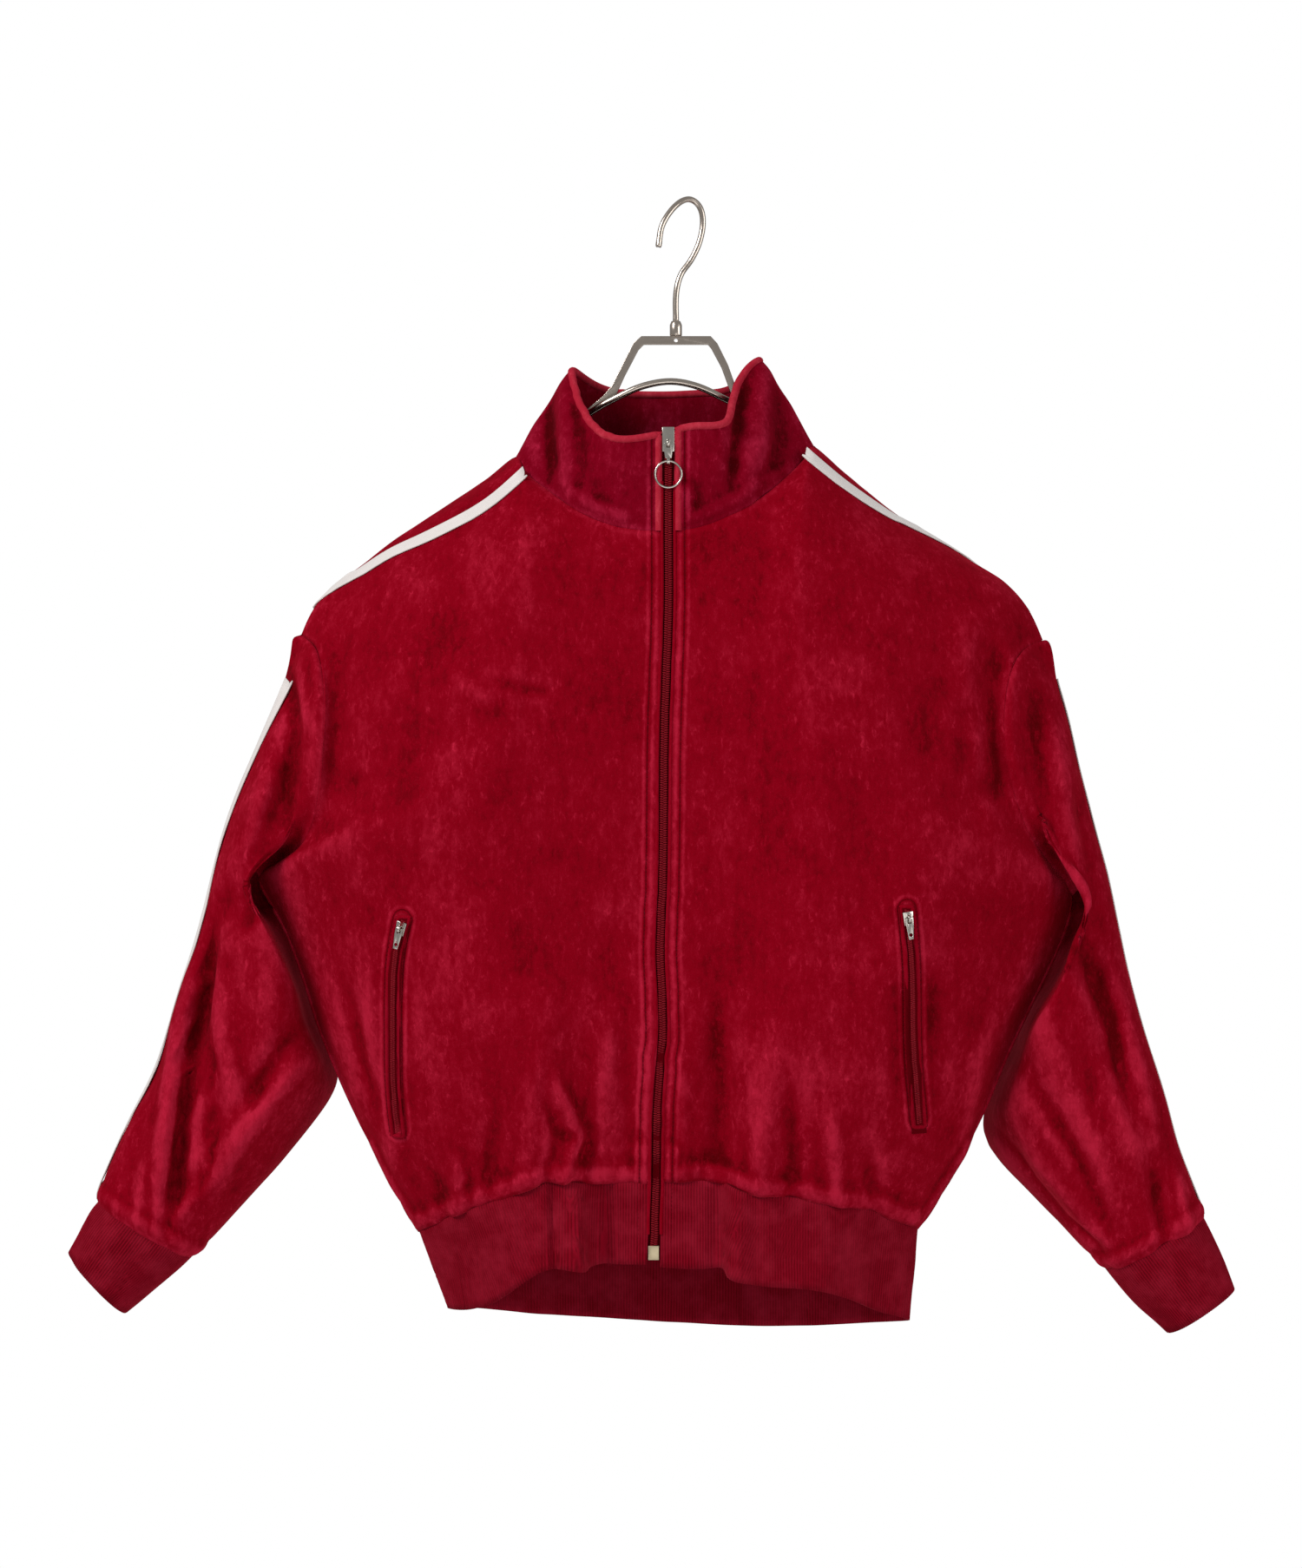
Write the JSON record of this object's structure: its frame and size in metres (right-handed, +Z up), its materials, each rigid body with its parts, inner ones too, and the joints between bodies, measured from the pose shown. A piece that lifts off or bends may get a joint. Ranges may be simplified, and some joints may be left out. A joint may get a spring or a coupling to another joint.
{
  "type": "track jacket on hanger",
  "caption": "Zip-front velour track jacket with a stand collar, side-stripe tapes, zipped pockets and ribbed cuffs and hem, hung on a metal clothes hanger.",
  "frame": {"origin": "underside of the hook's bend, the point the hanger hangs by", "axes": "+X towards the wearer's left, across the jacket, +Y towards the jacket's back, +Z up; the front faces -Y"},
  "size_m": [0.873, 0.1797, 0.8539],
  "materials": {
    "velour": "crushed pile",
    "rib_knit": "ribbed",
    "stripe_tape": "woven tape",
    "coil_zip": "woven tape with a nylon coil",
    "slider_metal": "nickel plated",
    "stop_metal": "satin",
    "hanger_metal": "polished"
  },
  "bodies": {
    "jacket": {"front_right": "velour", "front_left": "velour", "back": "velour", "sleeve_right": "velour", "sleeve_left": "velour", "collar": "velour", "waistband": "rib_knit", "cuff_right": "rib_knit", "cuff_left": "rib_knit", "shoulder_stripe_right": "stripe_tape", "shoulder_stripe_left": "stripe_tape", "sleeve_stripe_right": "stripe_tape", "sleeve_stripe_left": "stripe_tape", "pocket_zip_right": "coil_zip", "pocket_zip_left": "coil_zip", "main_zip": "coil_zip", "main_slider": "slider_metal", "pocket_slider_right": "slider_metal", "pocket_slider_left": "slider_metal", "zip_box": "stop_metal", "hanger_hook": "hanger_metal", "hanger_ferrule": "hanger_metal", "hanger_yoke": "hanger_metal", "hanger_arms": "hanger_metal"},
    "main_pull_body": {"main_pull": "slider_metal"},
    "ring_body": {"pull_ring": "slider_metal"},
    "pocket_pull_right_body": {"pocket_pull_right": "slider_metal"},
    "pocket_pull_left_body": {"pocket_pull_left": "slider_metal"}
  },
  "joints": [
    {"name": "main_pull_swing", "type": "hinge", "parent": "jacket", "child": "main_pull_body", "pos_m": [-0.014, -0.06495, -0.187], "axis": [-1, 0, 0], "range_deg": [0, 170]},
    {"name": "ring_swing", "type": "hinge", "parent": "main_pull_body", "child": "ring_body", "pos_m": [-0.014, -0.06495, -0.2], "axis": [-1, 0, 0], "range_deg": [0, 85]},
    {"name": "pocket_pull_right_swing", "type": "hinge", "parent": "jacket", "child": "pocket_pull_right_body", "pos_m": [-0.20952, -0.07601, -0.54126], "axis": [-0.9141, 0.3088, 0.2626], "range_deg": [0, 170]},
    {"name": "pocket_pull_left_swing", "type": "hinge", "parent": "jacket", "child": "pocket_pull_left_body", "pos_m": [0.16013, -0.08823, -0.53344], "axis": [-0.9588, -0.2487, -0.1373], "range_deg": [0, 170]}
  ]
}
